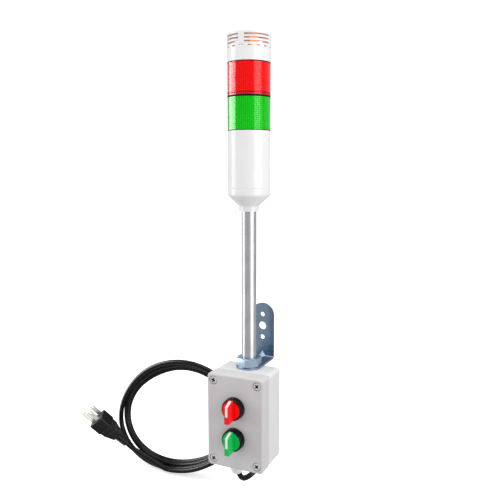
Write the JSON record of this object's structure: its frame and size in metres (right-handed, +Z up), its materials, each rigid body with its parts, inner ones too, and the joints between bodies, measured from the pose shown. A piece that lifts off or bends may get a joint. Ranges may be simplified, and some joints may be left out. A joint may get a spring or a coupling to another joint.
{
  "type": "stack light",
  "caption": "Slim signal tower with coloured lens tiers and a slotted sounder cap, on a metal pole clamped by a wall bracket to a switch box with a coiled mains lead and plug.",
  "frame": {"origin": "centre of the bracket's middle hole, on the face that lies against the wall", "axes": "+Z up along the pole, +Y into the wall, -Y out of the switch panel, +X to the right for a person who faces the switches"},
  "size_m": [0.2809, 0.1053, 0.5698],
  "materials": {
    "tower_white": "gloss",
    "red_lens": "clear, ribbed",
    "green_lens": "clear, ribbed",
    "dark_plastic": "satin",
    "sounder_orange": "gloss",
    "board_white": "matt",
    "pole_metal": "satin",
    "zinc": "bright zinc",
    "box_grey": "satin",
    "lid_grey": "satin",
    "screw_metal": "bright",
    "black_rubber": "matt",
    "operator_black": "satin",
    "knob_red": "gloss",
    "knob_green": "gloss",
    "pointer_white": "gloss",
    "block_grey": "matt",
    "gland_white": "satin",
    "cord_black": "matt",
    "plug_black": "satin",
    "pin_metal": "bright"
  },
  "bodies": {
    "stand": {"base_cone": "tower_white", "driver_board": "board_white", "housing": "tower_white", "green_lamp_board": "board_white", "green_lens": "green_lens", "divider": "dark_plastic", "red_lamp_board": "board_white", "red_lens": "red_lens", "buzzer_cap": "tower_white", "sounder_board": "board_white", "sounder": "sounder_orange", "pole": "pole_metal", "pole_nut": "zinc", "pole_washer": "zinc", "pole_locknut": "zinc", "bracket": "zinc", "box_body": "box_grey", "lid_gasket": "black_rubber", "box_lid": "lid_grey", "lid_screws": "screw_metal", "terminal_block": "block_grey", "gland_body": "gland_white", "gland_seal": "black_rubber", "gland_nut": "gland_white", "gland_locknut": "gland_white", "cord_lead": "cord_black", "cord_coil": "cord_black", "cord_tail": "cord_black", "plug_body": "plug_black", "plug_blades": "pin_metal", "ground_pin": "pin_metal", "red_panel_seal": "black_rubber", "red_bezel": "operator_black", "red_panel_nut": "operator_black", "red_contact_block": "block_grey", "green_panel_seal": "black_rubber", "green_bezel": "operator_black", "green_panel_nut": "operator_black", "green_contact_block": "block_grey"},
    "red_knob_body": {"red_knob": "knob_red", "red_pointer": "pointer_white"},
    "green_knob_body": {"green_knob": "knob_green", "green_pointer": "pointer_white"}
  },
  "joints": [
    {"name": "red_knob_turn", "type": "hinge", "parent": "stand", "child": "red_knob_body", "pos_m": [0, -0.0837, -0.0796], "axis": [0, -1, 0], "range_deg": [-45, 45]},
    {"name": "green_knob_turn", "type": "hinge", "parent": "stand", "child": "green_knob_body", "pos_m": [0, -0.0837, -0.1172], "axis": [0, -1, 0], "range_deg": [-45, 45]}
  ]
}
